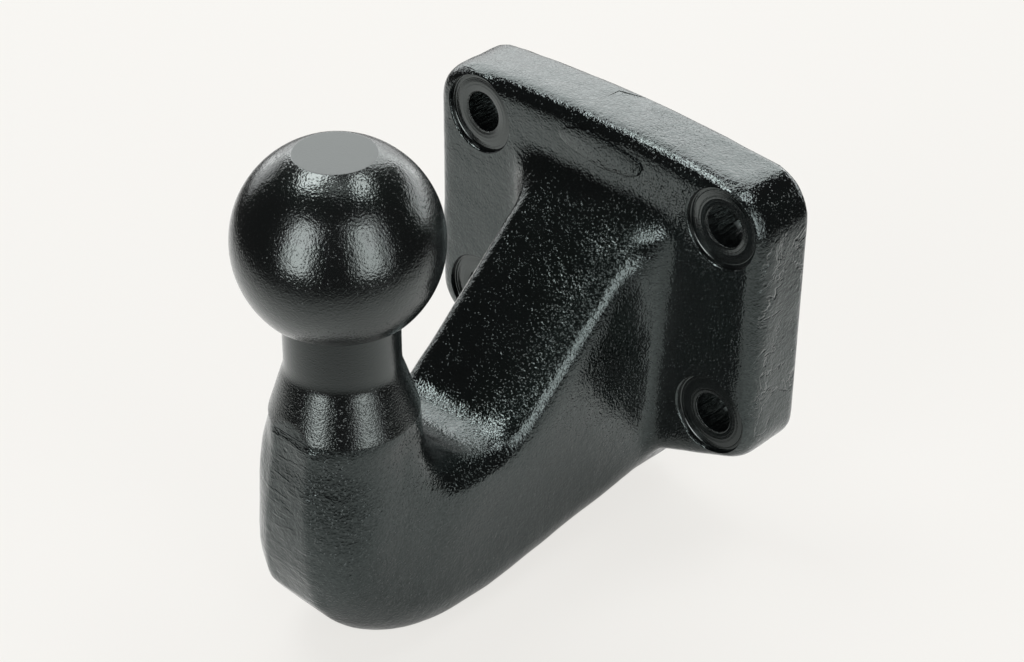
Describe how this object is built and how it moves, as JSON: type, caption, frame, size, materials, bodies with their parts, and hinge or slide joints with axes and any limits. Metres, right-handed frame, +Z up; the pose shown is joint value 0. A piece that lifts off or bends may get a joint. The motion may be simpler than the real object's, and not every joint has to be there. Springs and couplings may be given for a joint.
{
  "type": "tractor ball coupling",
  "caption": "Forged flange-mounted tow ball: a 50 mm ball on a swan-neck hook with a drilled mounting plate.",
  "frame": {"origin": "centre of the four-hole bolt pattern, on the flat back face of the flange", "axes": "+Z up along the ball's axis, -Y forward from the flange to the ball, +X to the right seen from the front"},
  "size_m": [0.112, 0.1322, 0.1368],
  "materials": {
    "ball_paint": "satin black paint over a turned ball",
    "turned_paint": "satin black paint over a turned neck",
    "forged_paint": "gloss black paint over a grainy forged skin"
  },
  "bodies": {
    "root": {"ball": "ball_paint", "neck": "turned_paint", "hook": "forged_paint", "arm": "forged_paint", "flange": "forged_paint"}
  },
  "joints": []
}
